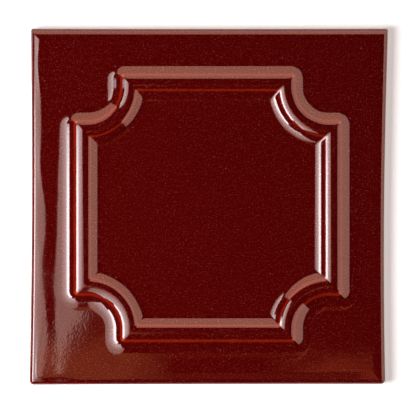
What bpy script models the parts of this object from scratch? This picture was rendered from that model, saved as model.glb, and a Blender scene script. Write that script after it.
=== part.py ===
"""A square relief accent tile of glazed ceramic: one pressed piece, lying face up.

Metres, +Z up. The origin is in the middle of the flat back.
The face is a plain field around a raised frame moulding with scalloped corners.
"""

import math

import bmesh
import bpy

MM = 0.001
NAME = "accent_tile"

# Tile body
SIDE = 152.0 * MM
HALF_SIDE = SIDE / 2
FIELD_HEIGHT = 9.5 * MM
BACK_CHAMFER = 0.5 * MM

# Corner rounding in plan, counter-clockwise from the corner at +X +Y
CORNER_RADII = (1.0 * MM, 1.0 * MM, 2.0 * MM, 2.0 * MM)

# Firing shrinkage: how far each corner lies from a true square, in the same order
CORNER_SHIFTS = ((0.8 * MM, 0.3 * MM), (-0.3 * MM, 0.3 * MM), (-0.8 * MM, -0.3 * MM), (-0.5 * MM, 0.0))

# How far the middle of a side is drawn in, from the straight line between its corners
RIGHT_BOW = 1.1 * MM
TOP_BOW = 0.1 * MM
LEFT_BOW = 0.75 * MM
BOTTOM_BOW = 0.1 * MM

# Sections of the face, walked in from the side as chains of tangent arcs.
# Each arc ends at this distance from the side, with this slope in degrees.
RIM_ARCS = (
    (1.1 * MM, 29.6),
    (1.55 * MM, 21.1),
    (1.9 * MM, 7.0),
    (5.9 * MM, 0.0),
    (8.9 * MM, 0.0),
)
MOULDING_START = 10.0 * MM
MOULDING_ARCS = (
    (11.8 * MM, 1.8),
    (13.2 * MM, 4.3),
    (14.5 * MM, 9.5),
    (15.7 * MM, 21.1),
    (17.0 * MM, 29.6),
    (18.2 * MM, 34.0),
    (19.2 * MM, 34.0),
    (19.8 * MM, 29.6),
    (20.75 * MM, 21.1),
    (22.1 * MM, 11.0),
    (22.5 * MM, 2.5),
    (23.2 * MM, 0.0),
    (23.4 * MM, -1.5),
    (23.75 * MM, -9.0),
    (24.9 * MM, -23.7),
    (25.5 * MM, -32.2),
    (26.3 * MM, -35.5),
    (27.3 * MM, -35.5),
    (28.05 * MM, -32.2),
    (28.93 * MM, -23.7),
    (30.4 * MM, -6.2),
    (31.0 * MM, 0.0),
)

# The steep part of the rim's rounding is this much larger along the upper side
TOP_RIM_GROWTH = 0.7
STEEP_RIM = 1.9 * MM

# The largest turn of one step along a section, in degrees
STEP_TURN = 12.0

# Plan of the moulding, drawn on the line in the middle of its outer slope
PLAN_LINE = 18.0 * MM
NOTCH_RADIUS = 13.3 * MM
NOTCH_CENTRE = 51.5 * MM
FRAME_SHIFT = (-0.4 * MM, -0.58 * MM)

# Rounding of the outer ears of each notch, sharper towards the panel
EAR_RADIUS = 2.8 * MM
EAR_SPREAD = 0.9
EAR_RADIUS_MIN = 0.7 * MM

# The foot of the moulding's cove is drawn in along the notches, from this distance outwards
NOTCH_FOOT = 15.7 * MM
NOTCH_FOOT_DRAW = 0.07 / MM

# Steps along one eighth of an outline: straight run, ear, half of the notch, corner of the tile
RUN_STEPS = 3
EAR_STEPS = 3
NOTCH_STEPS = 6
CORNER_STEPS = 3

GLAZE_COLOUR = (0.11, 0.0012, 0.001, 1.0)
GLAZE_ROUGHNESS = 0.1


def arc_chain(start, slope, height, arcs):
    """Distances and heights along tangent arcs, each given by its end and its end slope."""
    points = []
    for end, end_slope in arcs:
        steps = max(1, round(abs(end_slope - slope) / STEP_TURN))
        first = math.radians(slope)
        last = math.radians(end_slope)
        for step in range(1, steps + 1):
            angle = first + (last - first) * step / steps
            if first == last:
                distance = end
                rise = (end - start) * math.tan(first)
            else:
                radius = (end - start) / (math.sin(last) - math.sin(first))
                distance = start + radius * (math.sin(angle) - math.sin(first))
                rise = radius * (math.cos(first) - math.cos(angle))
            points.append((distance, height + rise))
        start = end
        slope = end_slope
        height = points[-1][1]
    return points


def whole_loop(eighths):
    """A closed outline from one eighth for each corner, mirrored in the corner's diagonal."""
    loop = []
    for quarter, eighth in enumerate(eighths):
        mirrored = [(y, x) for x, y in reversed(eighth[1:-1])]
        for x, y in eighth + mirrored:
            for _ in range(quarter):
                x, y = -y, x
            loop.append((x, y))
    return loop


def frame_eighth(distance):
    """The moulding's outline at a distance from the side, from a run's middle to the notch's middle."""
    run = HALF_SIDE - distance
    foot = max(NOTCH_FOOT - distance, 0.0)
    notch_radius = NOTCH_RADIUS + distance - PLAN_LINE + NOTCH_FOOT_DRAW * foot**2
    ear_radius = max(EAR_RADIUS + (PLAN_LINE - distance) * EAR_SPREAD, EAR_RADIUS_MIN)

    # The ear is an arc that touches the run and the notch
    ear_x = run - ear_radius
    short_of_centre = max(NOTCH_CENTRE - ear_x, 0.0)
    turn = math.asin(short_of_centre / (notch_radius + ear_radius))
    ear_y = NOTCH_CENTRE - (notch_radius + ear_radius) * math.cos(turn)

    points = [(run, ear_y * step / RUN_STEPS) for step in range(RUN_STEPS + 1)]
    for step in range(1, EAR_STEPS + 1):
        angle = (math.pi / 2 - turn) * step / EAR_STEPS
        points.append((ear_x + ear_radius * math.cos(angle), ear_y + ear_radius * math.sin(angle)))

    # The notch is a short flat, where there is room for one, and an arc up to the diagonal
    flat = max(ear_x - NOTCH_CENTRE, 0.0)
    length = flat + notch_radius * (math.pi / 4 - turn)
    for step in range(1, NOTCH_STEPS + 1):
        along = length * step / NOTCH_STEPS
        if along < flat:
            points.append((ear_x - along, NOTCH_CENTRE - notch_radius))
        else:
            angle = turn + (along - flat) / notch_radius
            x = NOTCH_CENTRE - notch_radius * math.sin(angle)
            y = NOTCH_CENTRE - notch_radius * math.cos(angle)
            points.append((x, y))
    return points


def frame_ring(distance, rise):
    """The moulding's closed ring at a distance from the side, at a height above the field."""
    loop = whole_loop([frame_eighth(distance)] * 4)
    return [(x + FRAME_SHIFT[0], y + FRAME_SHIFT[1], FIELD_HEIGHT + rise) for x, y in loop]


def side_bow(along, first_corner, last_corner, bow):
    """How far a side lies outside the true square, with along from -1 to 1 between its corners."""
    return (first_corner * (1 - along) + last_corner * (1 + along)) / 2 - bow * (1 - along * along)


def fired_shape(x, y):
    """Moves a point of the true square to where it lies after drying and firing."""
    right_top, left_top, left_bottom, right_bottom = CORNER_SHIFTS
    across = x / HALF_SIDE
    up = y / HALF_SIDE
    right = side_bow(up, right_bottom[0], right_top[0], RIGHT_BOW)
    left = -side_bow(up, -left_bottom[0], -left_top[0], LEFT_BOW)
    top = side_bow(across, left_top[1], right_top[1], TOP_BOW)
    bottom = -side_bow(across, -left_bottom[1], -right_bottom[1], BOTTOM_BOW)
    shift_x = (left * (1 - across) + right * (1 + across)) / 2
    shift_y = (bottom * (1 - up) + top * (1 + up)) / 2
    return x + shift_x, y + shift_y


def tile_eighth(inset, corner_radius):
    """The tile's outline, drawn in by an inset, from a side's middle to the middle of its corner."""
    half = HALF_SIDE - inset
    radius = max(corner_radius - inset, corner_radius / 4)
    straight = half - radius
    run_end = frame_eighth(MOULDING_START)[RUN_STEPS][1]
    points = [(half, run_end * step / RUN_STEPS) for step in range(RUN_STEPS + 1)]
    side_steps = EAR_STEPS + NOTCH_STEPS - CORNER_STEPS
    for step in range(1, side_steps + 1):
        points.append((half, run_end + (straight - run_end) * step / side_steps))
    for step in range(1, CORNER_STEPS + 1):
        angle = math.pi / 4 * step / CORNER_STEPS
        points.append((straight + radius * math.cos(angle), straight + radius * math.sin(angle)))
    return points


def tile_ring(inset, drop):
    """The tile's closed ring at an inset from the side and a drop below the field."""
    ring = []
    for x, y in whole_loop([tile_eighth(inset, radius) for radius in CORNER_RADII]):
        growth = TOP_RIM_GROWTH * max(0.0, y / HALF_SIDE) ** 6
        height = FIELD_HEIGHT - drop * (1 + growth)
        x, y = fired_shape(x, y - min(inset, STEEP_RIM) * growth)
        ring.append((x, y, height))
    return ring


def tile_rings():
    """Every closed ring of the surface, from the back's edge to the panel's edge."""
    rim = arc_chain(0.0, 90.0, 0.0, RIM_ARCS)
    rim_drop = rim[-1][1]
    edge = tile_ring(0.0, rim_drop)
    back = [(x * (1 - BACK_CHAMFER / HALF_SIDE), y * (1 - BACK_CHAMFER / HALF_SIDE), 0.0) for x, y, _ in edge]

    rings = [back, [(x, y, BACK_CHAMFER) for x, y, _ in edge], edge]
    rings += [tile_ring(distance, rim_drop - height) for distance, height in rim]
    rings.append(frame_ring(MOULDING_START, 0.0))
    for distance, rise in arc_chain(MOULDING_START, 0.0, 0.0, MOULDING_ARCS):
        rings.append(frame_ring(distance, rise))
    return rings


def build_tile_mesh():
    """The closed mesh of the tile, centred on the middle of its back."""
    rings = tile_rings()
    outline = rings[1]
    middle_x = (min(x for x, _, _ in outline) + max(x for x, _, _ in outline)) / 2
    middle_y = (min(y for _, y, _ in outline) + max(y for _, y, _ in outline)) / 2

    shape = bmesh.new()
    loops = []
    for ring in rings:
        loops.append([shape.verts.new((x - middle_x, y - middle_y, z)) for x, y, z in ring])
    for lower, upper in zip(loops, loops[1:]):
        count = len(lower)
        for index in range(count):
            following = (index + 1) % count
            shape.faces.new((lower[index], lower[following], upper[following], upper[index]))
    back = shape.faces.new(list(reversed(loops[0])))
    panel = shape.faces.new(loops[-1])
    bmesh.ops.triangulate(shape, faces=[back, panel])

    mesh = bpy.data.meshes.new(NAME)
    shape.to_mesh(mesh)
    shape.free()
    return mesh


def glaze_material():
    """The dark red gloss glaze."""
    material = bpy.data.materials.new("oxblood_glaze")
    material.use_nodes = True
    shader = material.node_tree.nodes["Principled BSDF"]
    shader.inputs["Base Color"].default_value = GLAZE_COLOUR
    shader.inputs["Roughness"].default_value = GLAZE_ROUGHNESS
    shader.inputs["Metallic"].default_value = 0.0
    return material


def main():
    """Clears the scene and adds the tile."""
    for leftover in list(bpy.data.objects):
        bpy.data.objects.remove(leftover)
    mesh = build_tile_mesh()
    mesh.materials.append(glaze_material())
    mesh.shade_smooth()
    mesh.set_sharp_from_angle(angle=math.radians(35.0))
    tile = bpy.data.objects.new(NAME, mesh)
    bpy.context.scene.collection.objects.link(tile)


main()
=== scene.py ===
"""A square relief accent tile in a dark red gloss glaze, lying face up on a pale studio table.

Metres, +Z up. The tile's flat back lies on z = 0 and +Y is the upper side of the picture.
"""

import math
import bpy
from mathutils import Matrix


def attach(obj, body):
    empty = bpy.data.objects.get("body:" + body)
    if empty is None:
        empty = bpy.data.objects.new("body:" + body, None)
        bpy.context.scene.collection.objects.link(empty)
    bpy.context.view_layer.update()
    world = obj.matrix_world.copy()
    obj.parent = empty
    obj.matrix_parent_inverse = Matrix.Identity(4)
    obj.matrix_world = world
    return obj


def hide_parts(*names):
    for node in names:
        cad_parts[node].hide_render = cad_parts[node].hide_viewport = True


bl_info = {
    "name": "Relief accent tile",
    "version": (1, 0, 0),
    "blender": (4, 5, 0),
    "location": "View3D > Sidebar > Relief tile",
    "description": "Presses, fires and glazes a relief accent tile and lights it on a studio table",
    "category": "Object",
}

import bmesh
import bpy
from bpy.props import FloatProperty, FloatVectorProperty, PointerProperty
from mathutils import Vector, noise

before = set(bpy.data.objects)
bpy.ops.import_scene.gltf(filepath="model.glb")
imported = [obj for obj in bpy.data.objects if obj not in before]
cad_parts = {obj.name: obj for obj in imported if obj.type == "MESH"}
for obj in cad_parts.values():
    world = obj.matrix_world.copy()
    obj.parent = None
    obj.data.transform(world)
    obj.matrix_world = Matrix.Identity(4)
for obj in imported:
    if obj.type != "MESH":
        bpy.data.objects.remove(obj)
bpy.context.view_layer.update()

MM = 0.001
NODE = "accent_tile"
PIECE = "glazed_tile"

# Sections walked in from the tile's side as chains of tangent arcs.
# Each arc ends at this distance from the side, with this slope in degrees.
RIM_ARCS = (
    (1.1 * MM, 29.6),
    (1.55 * MM, 21.1),
    (1.9 * MM, 7.0),
    (5.9 * MM, 0.0),
    (8.9 * MM, 0.0),
)
MOULDING_START = 10.0 * MM
MOULDING_ARCS = (
    (11.8 * MM, 1.8),
    (13.2 * MM, 4.3),
    (14.5 * MM, 9.5),
    (15.7 * MM, 21.1),
    (17.0 * MM, 29.6),
    (18.2 * MM, 34.0),
    (19.2 * MM, 34.0),
    (19.8 * MM, 29.6),
    (20.75 * MM, 21.1),
    (22.1 * MM, 11.0),
    (22.5 * MM, 2.5),
    (23.2 * MM, 0.0),
    (23.4 * MM, -1.5),
    (23.75 * MM, -9.0),
    (24.9 * MM, -23.7),
    (25.5 * MM, -32.2),
    (26.3 * MM, -35.5),
    (27.3 * MM, -35.5),
    (28.05 * MM, -32.2),
    (28.93 * MM, -23.7),
    (30.4 * MM, -6.2),
    (31.0 * MM, 0.0),
)

# Stretches where the glaze runs thin: distance from the side, width, and how much of it is gone
THIN_STRETCHES = (
    (0.5 * MM, 0.6 * MM, 0.6),
    (19.3 * MM, 0.8 * MM, 1.0),
    (25.85 * MM, 0.6 * MM, 1.0),
)

# How far each corner lies from a true square after firing, counter-clockwise from +X +Y
CORNER_SHIFTS = ((0.8 * MM, 0.3 * MM), (-0.3 * MM, 0.3 * MM), (-0.8 * MM, -0.3 * MM), (-0.5 * MM, 0.0))
CORNER_RADII = (1.0 * MM, 1.0 * MM, 2.0 * MM, 2.0 * MM)

# How far the middle of a side is drawn in from the line between its corners
RIGHT_BOW = 1.1 * MM
TOP_BOW = 0.1 * MM
LEFT_BOW = 0.75 * MM
BOTTOM_BOW = 0.1 * MM

# The share of its corner radius that the outline keeps, however far it is drawn in
LEAST_CORNER = 0.25

# The steep part of the rim's rounding is this much larger along the top side, and fades with this power
TOP_RIM_GROWTH = 0.7
TOP_FADE = 6
STEEP_RIM = 1.9 * MM

# Along the left side the gentle part of the rounding is wider and narrower by turns. The ripple fades with
# this power away from the left side
RIM_RIPPLE = 1.2 * MM
RIPPLE_REACH = 8.0 * MM
RIPPLE_LENGTH = 42.7 * MM
RIPPLE_START = 33.6 * MM
LEFT_FADE = 3

# Towards its ends the left rim narrows by this many ripples: evenly from the middle up to the first place,
# and down from the second to the third, as shares of half a side
END_PINCH = 1.2
UPPER_PINCH = 0.6
LOWER_PINCH_START = 0.35
LOWER_PINCH_END = 0.65

# The left rim stands this much proud of the field, and falls to it between these distances from the side
RIM_LIP = 0.085 * MM
LIP_FALL_START = 5.3 * MM
LIP_FALL_END = 11.6 * MM

# The moulding lies a little off the tile's middle
FRAME_SHIFT = (-0.4 * MM, -0.58 * MM)

# Rounding of the outer ears of each notch, sharper towards the panel
EAR_SPREAD = 0.9
EAR_RADIUS_MIN = 0.7 * MM

# The foot of the moulding's cove is drawn in along the notches, from this distance outwards
NOTCH_FOOT = 15.7 * MM
NOTCH_FOOT_DRAW = 0.07 / MM

# Steps along one eighth of an outline
RUN_STEPS = 20
EAR_STEPS = 16
NOTCH_STEPS = 34
CORNER_STEPS = 10
EIGHTH_STEPS = RUN_STEPS + EAR_STEPS + NOTCH_STEPS
STATIONS = 8 * EIGHTH_STEPS

# Rings up the sides, across the field and over the panel
SIDE_RINGS = 6
FIELD_RINGS = 9
PANEL_RINGS = 12

# Steps along a section: the most that one may turn, in degrees, and reach
STEP_TURN = 4.0
STEP_REACH = 0.35 * MM

# Edges that turn more than this stay sharp
SHARP_ANGLE = 40.0

# The glaze's even thickness, as a level kept on the mesh for its colour, and how much more of it is gone
# where a thin stretch turns one of the moulding's ears, over this many steps. On the ears this thinning
# also paints the bright orange highlight spot where the ridge lines meet
EVEN_GLAZE = 0.5
EAR_THINNING_AND_GLINT = 0.9
EAR_THINNING_STEPS = EAR_STEPS / 3

# Patterns in the glaze and the clay, in features a metre. The grain is partly painted glints, the specks are
# painted glints
BREAK_SCALE = 160.0
GRAIN_AND_GLINT_SCALE = 1700.0
GLINT_SPECK_SCALE = 800.0
CLAY_LINE_SCALE = 110.0
CLAY_SCALE = 1400.0
PEEL_SCALE = 1300.0
RUNS_SCALE = 170.0

# How much the glaze's thickness wanders, and the thicknesses between which it turns from orange to full,
# and from orange to the brightest orange of the ears, where the glaze is near bare and a highlight is
# painted
BREAK_WANDER = 0.3
FULL_GLAZE = (0.12, 0.55)
BARE_AND_GLINT_GLAZE = (0.0, -0.35)

# The stretches of each pattern's values over which its colour comes in
GRAIN_AND_GLINT_RANGE = (0.5, 0.9)
GLINT_SPECK_EDGE = (0.3, 0.12)
GLINT_SPECK_CELLS = (0.88, 0.98)
CLAY_RANGE = (0.4, 0.8)

# How far the line where the glaze ends wanders, and the width of its soft edge
CLAY_LINE_WANDER = 1.2 * MM
CLAY_LINE_BLUR = 0.3 * MM

# The table's side, and how much it stands above the tile's back, so that the two faces don't fall together
TABLE_SIZE = 6.0
TABLE_LIFT = 0.02 * MM
TABLE_ROUGHNESS = 0.9
WORLD_GLOW = (0.004, 0.004, 0.004)

# Tints of what the gloss mirrors. The window's goes from its lower to its upper edge
COOL = (0.78, 1.0, 1.07)
RIGHT_TINT = (1.45, 0.97, 0.8)
TOP_TINT = (1.5, 0.93, 0.72)
WARM = (1.0, 0.4, 0.16)
DULL_WARM = (1.0, 0.25, 0.1)
WINDOW_TINTS = (
    (0.0, (0.82, 1.0, 1.05)),
    (0.3, (0.9, 1.0, 1.03)),
    (0.7, (1.0, 0.93, 0.85)),
    (1.0, (1.0, 0.9, 0.8)),
)

# Where the right and the top reflector meet the one across their corner, and where the top one ends at the
# left, as shares of their distance from the tile, and the share of the full height that the right one has
CORNER_START = 0.447
TOP_WALL_END = 1.433
RIGHT_WALL_HEIGHT = 0.95

# The camera stands this far off the tile's middle
CAMERA_OFFSET = (-0.41 * MM, -0.66 * MM)
SENSOR_WIDTH = 36.0
NEAR_CLIP = 0.01


class TileSizes(bpy.types.PropertyGroup):
    """Sizes of the pressed tile."""

    side: FloatProperty(
        name="Side", description="Nominal side of the square", default=152.0 * MM, unit="LENGTH"
    )
    field_height: FloatProperty(
        name="Field height", description="Height of the plain outer field", default=9.5 * MM, unit="LENGTH"
    )
    back_chamfer: FloatProperty(
        name="Back chamfer", description="Break of the back's edge", default=0.5 * MM, unit="LENGTH"
    )
    plan_line: FloatProperty(
        name="Plan line",
        description="Distance from the side to the line that the notches are drawn on",
        default=18.0 * MM,
        unit="LENGTH",
    )
    notch_radius: FloatProperty(
        name="Notch radius", description="Radius of the corner notches", default=13.3 * MM, unit="LENGTH"
    )
    notch_centre: FloatProperty(
        name="Notch centre", description="Notch centre from the middle", default=51.5 * MM, unit="LENGTH"
    )
    ear_radius: FloatProperty(
        name="Ear radius", description="Rounding of the notch's ears", default=2.8 * MM, unit="LENGTH"
    )
    panel_ring: FloatProperty(
        name="Panel ring", description="Radius of the panel's round middle", default=24.0 * MM, unit="LENGTH"
    )
    waviness: FloatProperty(
        name="Waviness", description="Unevenness of the pressed face", default=0.03 * MM, unit="LENGTH"
    )
    wave_length: FloatProperty(
        name="Wave length", description="Length of the face's waves", default=14.0 * MM, unit="LENGTH"
    )


class GlazeColours(bpy.types.PropertyGroup):
    """Colours and gloss of the glaze and of the bare clay."""

    full: FloatVectorProperty(
        name="Glaze",
        description="Glaze of even thickness",
        default=(0.098, 0.0002, 0.0002),
        subtype="COLOR",
    )
    thin: FloatVectorProperty(
        name="Thin glaze",
        description="Glaze drawn thin over an edge",
        default=(0.33, 0.012, 0.0015),
        subtype="COLOR",
    )
    # Partly painted highlight: the bright orange spot on the moulding's ears, where the glaze is also
    # thinnest
    bare: FloatVectorProperty(
        name="Barest glaze",
        description="Glaze almost gone from a corner",
        default=(0.8, 0.13, 0.03),
        subtype="COLOR",
    )
    # Partly painted glints: the fine grain stands for glints off the orange peel as well as crystals in the
    # glaze
    grain_and_glints: FloatVectorProperty(
        name="Grain",
        description="Fine lighter grain in the glaze",
        default=(0.32, 0.048, 0.042),
        subtype="COLOR",
    )
    # Painted glints: the bright specks stand for the sparkle of the glaze
    glint_speck: FloatVectorProperty(
        name="Specks",
        description="Sparse bright specks in the glaze",
        default=(0.36, 0.08, 0.065),
        subtype="COLOR",
    )
    sheen: FloatVectorProperty(
        name="Reflection",
        description="Tint of the glaze's reflections",
        default=(1.0, 0.68, 0.64),
        subtype="COLOR",
    )
    clay: FloatVectorProperty(
        name="Clay", description="Bare fired clay", default=(0.56, 0.36, 0.24), subtype="COLOR"
    )
    dark_clay: FloatVectorProperty(
        name="Dark clay",
        description="Darker mottling of the bare clay",
        default=(0.36, 0.19, 0.11),
        subtype="COLOR",
    )
    clay_line: FloatProperty(
        name="Clay line", description="Height where the glaze ends", default=2.0 * MM, unit="LENGTH"
    )
    roughness: FloatProperty(
        name="Gloss roughness", description="Roughness of the glaze", default=0.035, min=0.0, max=1.0
    )
    clay_roughness: FloatProperty(
        name="Clay roughness", description="Roughness of the bare clay", default=0.85, min=0.0, max=1.0
    )
    refraction: FloatProperty(
        name="Refraction", description="Refractive index of the glaze", default=1.62, min=1.0, max=3.0
    )
    peel: FloatProperty(
        name="Orange peel",
        description="Height of the glaze's fine ripple",
        default=0.0055 * MM,
        unit="LENGTH",
    )


class StudioSettings(bpy.types.PropertyGroup):
    """The table, the camera and the light panels around the tile."""

    table: FloatVectorProperty(
        name="Table", description="Colour of the table", default=(0.85, 0.85, 0.85), subtype="COLOR"
    )
    table_glow: FloatVectorProperty(
        name="Table glow",
        description="Light of the table's own",
        default=(0.55, 0.5, 0.485),
        subtype="COLOR",
    )
    camera_height: FloatProperty(
        name="Camera height", description="Camera above the tile's field", default=1.2, unit="LENGTH"
    )
    view_width: FloatProperty(
        name="View width", description="Width of the view at the field", default=177.7 * MM, unit="LENGTH"
    )
    wall_distance: FloatProperty(
        name="Wall distance", description="From the tile to the side reflectors", default=0.6, unit="LENGTH"
    )
    wall_height: FloatProperty(
        name="Wall height", description="Height of the side reflectors", default=0.62, unit="LENGTH"
    )
    card_height: FloatProperty(
        name="Card height", description="Height of the warm cards overhead", default=1.0, unit="LENGTH"
    )
    wall_light: FloatProperty(
        name="Wall light", description="Radiance of the side reflectors", default=2.3, min=0.0
    )
    window_light: FloatProperty(
        name="Window light", description="Highest radiance of the left softbox", default=12.6, min=0.0
    )
    under_light: FloatProperty(
        name="Under light",
        description="Radiance of the panel under the table, which lights the tile's back alone",
        default=4.0,
        min=0.0,
    )
    strip_light: FloatProperty(
        name="Strip light", description="Highest radiance of the left strip", default=25.0, min=0.0
    )
    key_light: FloatProperty(
        name="Key light",
        description="Radiance of the light that casts the soft shadow",
        default=22.5,
        min=0.0,
    )


def arc_chain(start, slope, height, arcs):
    """Distances and heights along tangent arcs, each given by its end and its end slope."""
    points = []
    for end, end_slope in arcs:
        steps = max(abs(end_slope - slope) / STEP_TURN, (end - start) / STEP_REACH)
        steps = max(1, round(steps))
        first = math.radians(slope)
        last = math.radians(end_slope)
        for step in range(1, steps + 1):
            angle = first + (last - first) * step / steps
            if first == last:
                distance = start + (end - start) * step / steps
                rise = (distance - start) * math.tan(first)
            else:
                radius = (end - start) / (math.sin(last) - math.sin(first))
                distance = start + radius * (math.sin(angle) - math.sin(first))
                rise = radius * (math.cos(first) - math.cos(angle))
            points.append((distance, height + rise))
        start = end
        slope = end_slope
        height = points[-1][1]
    return points


def whole_loop(eighths):
    """A closed outline from one eighth for each corner, mirrored in the corner's diagonal."""
    loop = []
    for quarter, eighth in enumerate(eighths):
        mirrored = [(y, x) for x, y in reversed(eighth[1:-1])]
        for x, y in eighth + mirrored:
            for _ in range(quarter):
                x, y = -y, x
            loop.append((x, y))
    return loop


def frame_eighth(sizes, distance):
    """The moulding's outline at a distance from the side, from a run's middle to the notch's middle."""
    run = sizes.side / 2 - distance
    centre = sizes.notch_centre
    foot = max(NOTCH_FOOT - distance, 0.0)
    notch_radius = sizes.notch_radius + distance - sizes.plan_line + NOTCH_FOOT_DRAW * foot**2
    ear_radius = max(sizes.ear_radius + (sizes.plan_line - distance) * EAR_SPREAD, EAR_RADIUS_MIN)

    # The ear is an arc that touches the run and the notch
    ear_x = run - ear_radius
    short_of_centre = max(centre - ear_x, 0.0)
    turn = math.asin(short_of_centre / (notch_radius + ear_radius))
    ear_y = centre - (notch_radius + ear_radius) * math.cos(turn)

    points = [(run, ear_y * step / RUN_STEPS) for step in range(RUN_STEPS + 1)]
    for step in range(1, EAR_STEPS + 1):
        angle = (math.pi / 2 - turn) * step / EAR_STEPS
        points.append((ear_x + ear_radius * math.cos(angle), ear_y + ear_radius * math.sin(angle)))

    # The notch is a short flat, where there is room for one, and an arc up to the diagonal
    flat = max(ear_x - centre, 0.0)
    length = flat + notch_radius * (math.pi / 4 - turn)
    for step in range(1, NOTCH_STEPS + 1):
        along = length * step / NOTCH_STEPS
        if along < flat:
            points.append((ear_x - along, centre - notch_radius))
        else:
            angle = turn + (along - flat) / notch_radius
            points.append((centre - notch_radius * math.sin(angle), centre - notch_radius * math.cos(angle)))
    return points


def frame_ring(sizes, distance, rise):
    """The moulding's closed ring at a distance from the side, at a height above the field."""
    loop = whole_loop([frame_eighth(sizes, distance)] * 4)
    height = sizes.field_height + rise
    return [(x + FRAME_SHIFT[0], y + FRAME_SHIFT[1], height) for x, y in loop]


def side_bow(along, first_corner, last_corner, bow):
    """How far a side lies outside the true square, with along from -1 to 1 between its corners."""
    return (first_corner * (1 - along) + last_corner * (1 + along)) / 2 - bow * (1 - along * along)


def fired_shape(x, y, half_side):
    """Moves a point of the true square to where it lies after drying and firing."""
    right_top, left_top, left_bottom, right_bottom = CORNER_SHIFTS
    across = x / half_side
    up = y / half_side
    right = side_bow(up, right_bottom[0], right_top[0], RIGHT_BOW)
    left = -side_bow(up, -left_bottom[0], -left_top[0], LEFT_BOW)
    top = side_bow(across, left_top[1], right_top[1], TOP_BOW)
    bottom = -side_bow(across, -left_bottom[1], -right_bottom[1], BOTTOM_BOW)
    shift_x = (left * (1 - across) + right * (1 + across)) / 2
    shift_y = (bottom * (1 - up) + top * (1 + up)) / 2
    return x + shift_x, y + shift_y


def tile_eighth(sizes, inset, corner_radius):
    """The tile's outline, drawn in by an inset, from a side's middle to the middle of its corner."""
    half = sizes.side / 2 - inset
    radius = max(corner_radius - inset, corner_radius * LEAST_CORNER)
    straight = half - radius
    run_end = frame_eighth(sizes, MOULDING_START)[RUN_STEPS][1]
    points = [(half, run_end * step / RUN_STEPS) for step in range(RUN_STEPS + 1)]
    side_steps = EAR_STEPS + NOTCH_STEPS - CORNER_STEPS
    for step in range(1, side_steps + 1):
        points.append((half, run_end + (straight - run_end) * step / side_steps))
    for step in range(1, CORNER_STEPS + 1):
        angle = math.pi / 4 * step / CORNER_STEPS
        points.append((straight + radius * math.cos(angle), straight + radius * math.sin(angle)))
    return points


def rim_wave(x, y, half_side):
    """How wide the left rim's rounding is at a place, from 1 down to -1, and less than that at its ends."""
    up = y / half_side
    lower_pinch = (-up - LOWER_PINCH_START) / (LOWER_PINCH_END - LOWER_PINCH_START)
    pinch = min(max(up / UPPER_PINCH, lower_pinch, 0.0), 1.0)
    return math.cos(math.tau * (x + y + RIPPLE_START) / RIPPLE_LENGTH) - END_PINCH * pinch


def left_lip(x, y, half_side):
    """How far the left rim stands proud of the field at a place, falling from where its rounding ends."""
    start = LIP_FALL_START + RIM_RIPPLE * rim_wave(x, y, half_side)
    fallen = (half_side + x - start) / (LIP_FALL_END - start)
    fallen = min(max(fallen, 0.0), 1.0)
    return RIM_LIP * (1 - fallen**2 * (3 - 2 * fallen))


def tile_ring(sizes, inset, drop, share=1.0):
    """The tile's closed ring at an inset and a drop below the field, or a share of the way up to there."""
    half = sizes.side / 2
    chamfer = sizes.back_chamfer
    ripple = RIM_RIPPLE * math.sin(math.pi * max(inset - STEEP_RIM, 0.0) / RIPPLE_REACH) ** 2
    narrow = whole_loop([tile_eighth(sizes, inset - ripple, radius) for radius in CORNER_RADII])
    wide = whole_loop([tile_eighth(sizes, inset + ripple, radius) for radius in CORNER_RADII])
    ring = []
    for (narrow_x, narrow_y), (wide_x, wide_y) in zip(narrow, wide):
        leftness = max(0.0, -narrow_x / half) ** LEFT_FADE
        widening = (1 + rim_wave(narrow_x, narrow_y, half) * leftness) / 2
        x = narrow_x + (wide_x - narrow_x) * widening
        y = narrow_y + (wide_y - narrow_y) * widening
        growth = TOP_RIM_GROWTH * max(0.0, y / half) ** TOP_FADE
        height = sizes.field_height - drop * (1 + growth)
        x, y = fired_shape(x, y - min(inset, STEEP_RIM) * growth, half)
        ring.append((x, y, chamfer + (height - chamfer) * share))
    return ring


def ring_between(first, last, share):
    """A ring part of the way from one ring to another."""
    return [tuple(a + (b - a) * share for a, b in zip(start, end)) for start, end in zip(first, last)]


def round_ring(ring, radius):
    """A circle with a point in the direction of each of a ring's points."""
    circle = []
    for x, y, z in ring:
        reach = math.hypot(x, y)
        circle.append((radius * x / reach, radius * y / reach, z))
    return circle


def glaze_depth(distance):
    """Thickness of the glaze at a distance from the side, drawn thin over the breaks."""
    depth = EVEN_GLAZE
    for middle, width, gone in THIN_STRETCHES:
        depth -= EVEN_GLAZE * gone * math.exp(-(((distance - middle) / width) ** 2))
    return depth


def moulding_glaze(depth):
    """The glaze's depth along a moulding ring, where a thin stretch is thinner still on the ears and paints
    a highlight spot there.
    """
    levels = []
    for station in range(STATIONS):
        along = station % (2 * EIGHTH_STEPS)
        along = min(along, 2 * EIGHTH_STEPS - along)
        from_ear = (along - RUN_STEPS - EAR_STEPS / 2) / EAR_THINNING_STEPS
        levels.append(depth - EAR_THINNING_AND_GLINT * (EVEN_GLAZE - depth) * math.exp(-(from_ear**2)))
    return levels


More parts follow.
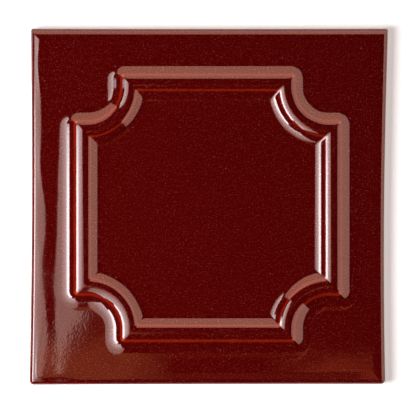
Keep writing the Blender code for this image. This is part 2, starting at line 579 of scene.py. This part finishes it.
def tile_rings(sizes):
    """Every ring of the surface with its glaze depths, from the back's edge inwards."""
    even = [EVEN_GLAZE] * STATIONS
    rim = arc_chain(0.0, 90.0, 0.0, RIM_ARCS)
    rim_drop = rim[-1][1]
    back = [(x, y, 0.0) for x, y, _ in tile_ring(sizes, sizes.back_chamfer, 0.0)]
    rings = [(back, even)]
    for step in range(SIDE_RINGS + 1):
        rings.append((tile_ring(sizes, 0.0, rim_drop, step / SIDE_RINGS), even))
    for distance, height in rim:
        rings.append((tile_ring(sizes, distance, rim_drop - height), [glaze_depth(distance)] * STATIONS))

    rim_end = rings[-1][0]
    toe = frame_ring(sizes, MOULDING_START, 0.0)
    for step in range(1, FIELD_RINGS + 1):
        rings.append((ring_between(rim_end, toe, step / FIELD_RINGS), even))
    for distance, rise in arc_chain(MOULDING_START, 0.0, 0.0, MOULDING_ARCS):
        rings.append((frame_ring(sizes, distance, rise), moulding_glaze(glaze_depth(distance))))

    panel_edge = rings[-1][0]
    circle = round_ring(panel_edge, sizes.panel_ring)
    for step in range(1, PANEL_RINGS + 1):
        rings.append((ring_between(panel_edge, circle, step / PANEL_RINGS), even))
    return rings


def clear_selection():
    """Leaves edit mode and deselects everything, the CAD node too."""
    if bpy.context.object and bpy.context.object.mode != "OBJECT":
        bpy.ops.object.mode_set(mode="OBJECT")
    bpy.ops.object.select_all(action="DESELECT")


def place_ring(tile, ring, depths):
    """Moves the selected ring of vertices to its place and notes its glaze depths."""
    mesh = bmesh.from_edit_mesh(tile.data)
    station = mesh.verts.layers.int["station"]
    glaze = mesh.verts.layers.float["glaze"]
    for vert in mesh.verts:
        if vert.select:
            vert.co = ring[vert[station]]
            vert[glaze] = depths[vert[station]]
    bmesh.update_edit_mesh(tile.data)


def close_panel(tile):
    """Fills the round middle of the panel."""
    bpy.ops.mesh.fill_grid(span=STATIONS // 4)
    mesh = bmesh.from_edit_mesh(tile.data)
    glaze = mesh.verts.layers.float["glaze"]
    for vert in mesh.verts:
        if vert.select:
            vert[glaze] = EVEN_GLAZE
    bmesh.update_edit_mesh(tile.data)


def settle_face(tile, sizes):
    """Centres the tile on its box and gives its face the slight waves and the left lip of the real one."""
    mesh = bmesh.from_edit_mesh(tile.data)
    low_x = min(vert.co.x for vert in mesh.verts)
    high_x = max(vert.co.x for vert in mesh.verts)
    low_y = min(vert.co.y for vert in mesh.verts)
    high_y = max(vert.co.y for vert in mesh.verts)
    middle = Vector(((low_x + high_x) / 2, (low_y + high_y) / 2, 0.0))
    for vert in mesh.verts:
        vert.co -= middle
        if vert.co.z > sizes.field_height / 2:
            place = Vector((vert.co.x, vert.co.y, 0.0))
            vert.co.z += sizes.waviness * noise.noise(place / sizes.wave_length)
            vert.co.z += left_lip(place.x, place.y, sizes.side / 2)
    bmesh.update_edit_mesh(tile.data)


def press_tile(sizes):
    """The pressed tile as one closed mesh, drawn up ring by ring from the outline of its back."""
    clear_selection()
    bpy.ops.mesh.primitive_circle_add(vertices=STATIONS, radius=sizes.side / 2, fill_type="NOTHING")
    tile = bpy.context.object
    tile.name = PIECE
    bpy.ops.object.mode_set(mode="EDIT")
    mesh = bmesh.from_edit_mesh(tile.data)
    station = mesh.verts.layers.int.new("station")
    mesh.verts.layers.float.new("glaze")
    mesh.verts.ensure_lookup_table()
    for index, vert in enumerate(mesh.verts):
        vert[station] = index
    bmesh.update_edit_mesh(tile.data)

    rings = tile_rings(sizes)
    place_ring(tile, *rings[0])
    bpy.ops.mesh.edge_face_add()
    for ring, depths in rings[1:]:
        bpy.ops.mesh.extrude_edges_indiv()
        place_ring(tile, ring, depths)
    close_panel(tile)
    settle_face(tile, sizes)
    bpy.ops.mesh.select_all(action="SELECT")
    bpy.ops.mesh.normals_make_consistent(inside=False)
    bpy.ops.object.mode_set(mode="OBJECT")
    return tile


def node(tree, kind, place, **values):
    """A shader node at a place in the tree, with its settings."""
    new = tree.nodes.new(kind)
    new.location = place
    for name, value in values.items():
        setattr(new, name, value)
    return new


def noise_node(tree, coordinates, place, scale, detail=2.0, distortion=0.0):
    """A noise texture on the piece's own coordinates, with its scale in features a metre."""
    texture = node(tree, "ShaderNodeTexNoise", place)
    texture.inputs["Scale"].default_value = scale
    texture.inputs["Detail"].default_value = detail
    texture.inputs["Distortion"].default_value = distortion
    tree.links.new(coordinates, texture.inputs["Vector"])
    return texture.outputs["Fac"]


def math_node(tree, operation, place, first, second):
    """A math node of two values, each a socket or a number."""
    new = node(tree, "ShaderNodeMath", place, operation=operation)
    for socket, value in zip(new.inputs, (first, second)):
        if isinstance(value, bpy.types.NodeSocket):
            tree.links.new(value, socket)
        else:
            socket.default_value = value
    return new.outputs["Value"]


def smooth_step(tree, value, place, low, high):
    """A value eased from 0 at its low end to 1 at its high end."""
    new = node(tree, "ShaderNodeMapRange", place, interpolation_type="SMOOTHSTEP")
    tree.links.new(value, new.inputs["Value"])
    new.inputs["From Min"].default_value = low
    new.inputs["From Max"].default_value = high
    return new.outputs["Result"]


def mix_colours(tree, factor, first, second, place):
    """A colour mixed from two others by a factor, each a socket or a colour."""
    mix = node(tree, "ShaderNodeMix", place, data_type="RGBA")
    tree.links.new(factor, mix.inputs["Factor"])
    for name, colour in (("A", first), ("B", second)):
        socket = next(item for item in mix.inputs if item.name == name and item.type == "RGBA")
        if isinstance(colour, bpy.types.NodeSocket):
            tree.links.new(colour, socket)
        else:
            socket.default_value = (*colour, 1.0)
    return next(item for item in mix.outputs if item.type == "RGBA")


def glaze_material(colours):
    """Dark red gloss glaze, orange where thin, with painted glints in its grain and specks and on the ears,
    over bare clay.
    """
    material = bpy.data.materials.new("oxblood_glaze")
    material.use_nodes = True
    tree = material.node_tree
    shader = tree.nodes["Principled BSDF"]
    shader.location = (1100, 0)
    here = node(tree, "ShaderNodeTexCoord", (-1400, 0)).outputs["Object"]

    # Glaze breaks to orange where it runs thin over an edge, a little unevenly. On the ears, where it is
    # thinnest, it turns a brighter orange that is also a painted highlight
    depth = node(tree, "ShaderNodeAttribute", (-1400, 500), attribute_name="glaze").outputs["Fac"]
    wander = noise_node(tree, here, (-1200, 700), BREAK_SCALE)
    uneven = math_node(tree, "MULTIPLY_ADD", (-1000, 600), wander, BREAK_WANDER)
    tree.links.new(depth, uneven.node.inputs[2])
    fullness = smooth_step(tree, uneven, (-800, 500), *FULL_GLAZE)
    shade = mix_colours(tree, fullness, colours.thin, colours.full, (-500, 500))
    thinnest_and_glint = smooth_step(tree, uneven, (-800, 800), *BARE_AND_GLINT_GLAZE)
    shade = mix_colours(tree, thinnest_and_glint, shade, colours.bare, (-400, 700))

    # Fine grain all over, partly crystals and partly painted glints off the orange peel, and bright specks
    # in a few cells of a Voronoi pattern, which are painted glints
    grain_and_glints = noise_node(tree, here, (-1200, 300), GRAIN_AND_GLINT_SCALE)
    grain_and_glints = smooth_step(tree, grain_and_glints, (-900, 300), *GRAIN_AND_GLINT_RANGE)
    shade = mix_colours(tree, grain_and_glints, shade, colours.grain_and_glints, (-300, 400))
    cells = node(tree, "ShaderNodeTexVoronoi", (-1200, 0))
    cells.inputs["Scale"].default_value = GLINT_SPECK_SCALE
    tree.links.new(here, cells.inputs["Vector"])
    near = smooth_step(tree, cells.outputs["Distance"], (-900, 50), *GLINT_SPECK_EDGE)
    lucky = smooth_step(tree, cells.outputs["Color"], (-900, -150), *GLINT_SPECK_CELLS)
    glint_speck = math_node(tree, "MULTIPLY", (-600, 0), near, lucky)
    shade = mix_colours(tree, glint_speck, shade, colours.glint_speck, (-100, 300))

    # The glaze ends a little above the back, in a wandering line, and leaves the clay bare below it
    split = node(tree, "ShaderNodeSeparateXYZ", (-1200, -300))
    tree.links.new(here, split.inputs["Vector"])
    wander = noise_node(tree, here, (-1200, -500), CLAY_LINE_SCALE)
    line = math_node(tree, "MULTIPLY_ADD", (-900, -400), wander, -CLAY_LINE_WANDER)
    tree.links.new(split.outputs["Z"], line.node.inputs[2])
    low = colours.clay_line - (CLAY_LINE_WANDER + CLAY_LINE_BLUR) / 2
    glazed = smooth_step(tree, line, (-600, -400), low, low + CLAY_LINE_BLUR)
    mottle = noise_node(tree, here, (-600, -600), CLAY_SCALE, 3.0)
    mottle = smooth_step(tree, mottle, (-300, -600), *CLAY_RANGE)
    clay = mix_colours(tree, mottle, colours.clay, colours.dark_clay, (-100, 0))
    shade = mix_colours(tree, glazed, clay, shade, (100, 200))
    tree.links.new(shade, shader.inputs["Base Color"])
    polish = colours.roughness - colours.clay_roughness
    gloss = math_node(tree, "MULTIPLY_ADD", (100, -100), glazed, polish)
    gloss.node.inputs[2].default_value = colours.clay_roughness
    tree.links.new(gloss, shader.inputs["Roughness"])
    shader.inputs["IOR"].default_value = colours.refraction
    shader.inputs["Specular Tint"].default_value = (*colours.sheen, 1.0)

    # Orange peel, with longer runs in the glaze under it
    peel = noise_node(tree, here, (0, -400), PEEL_SCALE, 1.0)
    runs = noise_node(tree, here, (0, -700), RUNS_SCALE, 1.0, 1.5)
    bump = node(tree, "ShaderNodeBump", (700, -300))
    bump.inputs["Distance"].default_value = colours.peel
    bump.inputs["Strength"].default_value = 1.0
    tree.links.new(math_node(tree, "ADD", (450, -500), peel, runs), bump.inputs["Height"])
    tree.links.new(bump.outputs["Normal"], shader.inputs["Normal"])
    return material


def table_material(studio):
    """The pale matt table."""
    material = bpy.data.materials.new("pale_table")
    material.use_nodes = True
    shader = material.node_tree.nodes["Principled BSDF"]
    shader.inputs["Base Color"].default_value = (*studio.table, 1.0)
    shader.inputs["Roughness"].default_value = TABLE_ROUGHNESS
    shader.inputs["Specular IOR Level"].default_value = 0.0
    shader.inputs["Emission Color"].default_value = (*studio.table_glow, 1.0)
    shader.inputs["Emission Strength"].default_value = 1.0
    return material


def add_panel(name, centre, facing, width, height, radiance, tint=(1.0, 1.0, 1.0)):
    """A rectangular panel that the gloss mirrors, with its radiance. Its local Y is its upper edge."""
    bpy.ops.object.light_add(type="AREA", location=centre)
    panel = bpy.context.object
    panel.name = name
    panel.rotation_euler = Vector(facing).to_track_quat("-Z", "Y").to_euler()
    panel.data.shape = "RECTANGLE"
    panel.data.size = width
    panel.data.size_y = height
    panel.data.color = tint
    panel.data.energy = radiance * math.pi * width * height
    panel.visible_camera = False
    panel.visible_diffuse = False
    return panel


def colour_ramp(tree, value, place, stops):
    """A colour ramp of a value, with a stop for each place and colour."""
    ramp = node(tree, "ShaderNodeValToRGB", place)
    elements = ramp.color_ramp.elements
    elements[0].position = stops[0][0]
    elements[1].position = stops[-1][0]
    for position, _ in stops[1:-1]:
        elements.new(position)
    for element, (_, colour) in zip(elements, stops):
        element.color = (*colour, 1.0)
    tree.links.new(value, ramp.inputs["Fac"])
    return ramp.outputs["Color"]


def shade_panel(panel, levels, cuts=(), tints=None):
    """Gives a panel its levels of light from its lower to its upper edge, and cuts it off past soft lines.

    Each level is a place from 0 to 1 and a share of the panel's radiance. Each cut is a direction on the
    panel, a distance from its middle, in metres, where the light starts, and the width of its soft edge.
    Tints are colours from the lower to the upper edge, where the panel's colour isn't even.
    """
    panel.data.use_nodes = True
    tree = panel.data.node_tree
    emission = tree.nodes["Emission"]
    where = node(tree, "ShaderNodeNewGeometry", (-1200, 0)).outputs["Parametric"]
    split = node(tree, "ShaderNodeSeparateXYZ", (-1000, 200))
    tree.links.new(where, split.inputs["Vector"])
    greys = [(place, (level,) * 3) for place, level in levels]
    light = colour_ramp(tree, split.outputs["Y"], (-700, 300), greys)
    if tints:
        tree.links.new(colour_ramp(tree, split.outputs["Y"], (-700, 600), tints), emission.inputs["Color"])

    for row, ((across, along), distance, softness) in enumerate(cuts):
        line = node(tree, "ShaderNodeVectorMath", (-900, -200 * row), operation="DOT_PRODUCT")
        tree.links.new(where, line.inputs[0])
        line.inputs[1].default_value = (across * panel.data.size, along * panel.data.size_y, 0.0)
        start = distance + (across * panel.data.size + along * panel.data.size_y) / 2
        first = start - softness / 2
        lit = smooth_step(tree, line.outputs["Value"], (-600, -200 * row), first, first + softness)
        light = math_node(tree, "MULTIPLY", (-300, -200 * row), light, lit)
    tree.links.new(light, emission.inputs["Strength"])


def add_key_lights(studio):
    """The light that casts the soft shadow, which only matt surfaces see, and one for the tile's back."""
    place = (-0.385, -0.11, 0.73)
    key = add_panel("key_light", place, -Vector(place), 0.26, 0.34, studio.key_light)
    key.visible_diffuse = True
    key.visible_glossy = False
    under = add_panel("under_light", (0.0, 0.0, -1.0), (0, 0, 1), 1.0, 1.0, studio.under_light)
    under.visible_diffuse = True


def add_walls(studio):
    """The reflectors to the right, across the corner and at the top, which meet without overlapping."""
    far = studio.wall_distance
    high = studio.wall_height
    low = RIGHT_WALL_HEIGHT * high
    end = CORNER_START * far
    place = (far, (end - far) / 2, low / 2)
    add_panel("right_wall", place, (-1, 0, 0), end + far, low, studio.wall_light, RIGHT_TINT)

    place = ((end + far) / 2, (end + far) / 2, low / 2)
    width = (far - end) * math.sqrt(2)
    add_panel("corner_wall", place, (-1, -1, 0), width, low, studio.wall_light, RIGHT_TINT)

    left_end = TOP_WALL_END * far
    place = ((end - left_end) / 2, far, high / 2)
    add_panel("top_wall", place, (0, -1, 0), end + left_end, high, studio.wall_light, TOP_TINT)


def add_left_strip(studio):
    """The bright strip to the left, which gives the white lines along the slopes that face it."""
    place = (-studio.wall_distance, -0.1, 0.46)
    strip = add_panel("left_strip", place, (1, 0, 0), 0.9, 0.28, studio.strip_light, COOL)
    levels = ((0.0, 0.2), (0.12, 0.9), (0.3, 1.0), (0.6, 0.95), (0.8, 0.7), (1.0, 0.4))
    cuts = (((1.0, 0.0), -0.16, 0.12), ((-0.235, 0.972), -0.131, 0.02))
    shade_panel(strip, levels, cuts)


def add_windows(studio):
    """The tilted softbox to the left, which the rim, the field and the slopes mirror, and its lower end."""
    tilt = (0.32, 0, -0.44)
    shared = ((0.0, 0.9), (0.09, 0.68), (0.29, 0.52), (0.45, 0.43), (0.63, 0.28))
    window = add_panel("left_window", (-0.315, 0.065, 0.787), tilt, 0.57, 0.705, studio.window_light)
    levels = shared + ((0.73, 0.25), (0.845, 0.195), (0.875, 0.26), (1.0, 0.3))
    cuts = (((0.749, -0.663), -0.078, 0.03), ((-0.344, -0.939), -0.303, 0.005))
    shade_panel(window, levels, cuts, WINDOW_TINTS)

    window = add_panel("lower_window", (-0.315, -0.62, 0.787), tilt, 0.8, 0.705, studio.window_light)
    shade_panel(window, shared + ((0.8, 0.24), (0.86, 0.0)), (), WINDOW_TINTS)


def add_cards(studio):
    """Dim warm cards overhead, which tint the lower field."""
    down = (0, 0, -1)
    card = add_panel("left_card", (-0.13, -0.23, studio.card_height), down, 0.2, 0.28, 1.2, WARM)
    cuts = (((-1.0, 0.0), -0.085, 0.05), ((1.0, 0.0), 0.0, 0.06))
    shade_panel(card, ((0.0, 1.0), (0.9, 1.0), (0.99, 0.0)), cuts)

    card = add_panel("middle_card", (0.0, -0.27, studio.card_height), down, 0.24, 0.2, 0.3, DULL_WARM)
    shade_panel(card, ((0.0, 1.0), (0.7, 1.0), (1.0, 0.0)))

    card = add_panel("right_card", (0.11, -0.24, studio.card_height), down, 0.12, 0.28, 1.1, DULL_WARM)
    cuts = (((1.0, 0.0), -0.045, 0.04), ((0.0, -1.0), -0.12, 0.03))
    shade_panel(card, ((0.0, 1.0), (1.0, 1.0)), cuts)


def add_camera(studio, field_height):
    """The camera straight above the tile."""
    place = (*CAMERA_OFFSET, field_height + studio.camera_height)
    bpy.ops.object.camera_add(location=place, rotation=(0.0, 0.0, 0.0))
    camera = bpy.context.object
    camera.name = "overhead_camera"
    camera.data.sensor_width = SENSOR_WIDTH
    camera.data.lens = camera.data.sensor_width * studio.camera_height / studio.view_width
    camera.data.clip_start = NEAR_CLIP
    return camera


class RELIEFTILE_OT_press(bpy.types.Operator):
    """Press the tile's body, with its moulding, and glaze it"""

    bl_idname = "relief_tile.press"
    bl_label = "Press and glaze the tile"

    def execute(self, context):
        tile = press_tile(context.scene.relief_tile_sizes)
        tile.data.materials.append(glaze_material(context.scene.relief_tile_glaze))
        bpy.ops.object.shade_smooth_by_angle(angle=math.radians(SHARP_ANGLE))
        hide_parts(NODE)
        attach(tile, "root")
        return {"FINISHED"}


class RELIEFTILE_OT_stage(bpy.types.Operator):
    """Lay the table, set up the light panels and put the camera straight above the tile"""

    bl_idname = "relief_tile.stage"
    bl_label = "Set the stage"

    def execute(self, context):
        scene = context.scene
        studio = scene.relief_tile_studio
        clear_selection()
        bpy.ops.mesh.primitive_plane_add(size=TABLE_SIZE, location=(0.0, 0.0, TABLE_LIFT))
        table = context.object
        table.name = "table"
        table.data.materials.append(table_material(studio))

        for add in (add_key_lights, add_walls, add_left_strip, add_windows, add_cards):
            add(studio)
        world = bpy.data.worlds.new("studio")
        scene.world = world
        world.use_nodes = True
        world.node_tree.nodes["Background"].inputs["Color"].default_value = (*WORLD_GLOW, 1.0)
        scene.camera = add_camera(studio, scene.relief_tile_sizes.field_height)
        scene.view_settings.view_transform = "Standard"
        return {"FINISHED"}


class RELIEFTILE_PT_tools(bpy.types.Panel):
    """The tile's steps in the 3D view's sidebar"""

    bl_idname = "RELIEFTILE_PT_tools"
    bl_label = "Relief tile"
    bl_space_type = "VIEW_3D"
    bl_region_type = "UI"
    bl_category = "Relief tile"

    def draw(self, context):
        self.layout.operator(RELIEFTILE_OT_press.bl_idname)
        self.layout.operator(RELIEFTILE_OT_stage.bl_idname)


CLASSES = (
    TileSizes,
    GlazeColours,
    StudioSettings,
    RELIEFTILE_OT_press,
    RELIEFTILE_OT_stage,
    RELIEFTILE_PT_tools,
)


def register():
    """Registers the classes and hangs the settings on the scene."""
    for cls in CLASSES:
        bpy.utils.register_class(cls)
    bpy.types.Scene.relief_tile_sizes = PointerProperty(type=TileSizes)
    bpy.types.Scene.relief_tile_glaze = PointerProperty(type=GlazeColours)
    bpy.types.Scene.relief_tile_studio = PointerProperty(type=StudioSettings)


def unregister():
    """Takes the settings off the scene and unregisters the classes."""
    del bpy.types.Scene.relief_tile_studio
    del bpy.types.Scene.relief_tile_glaze
    del bpy.types.Scene.relief_tile_sizes
    for cls in reversed(CLASSES):
        bpy.utils.unregister_class(cls)


def main():
    """Makes the tile and its stage."""
    register()
    bpy.ops.relief_tile.press()
    bpy.ops.relief_tile.stage()


if __name__ == "__main__":
    main()
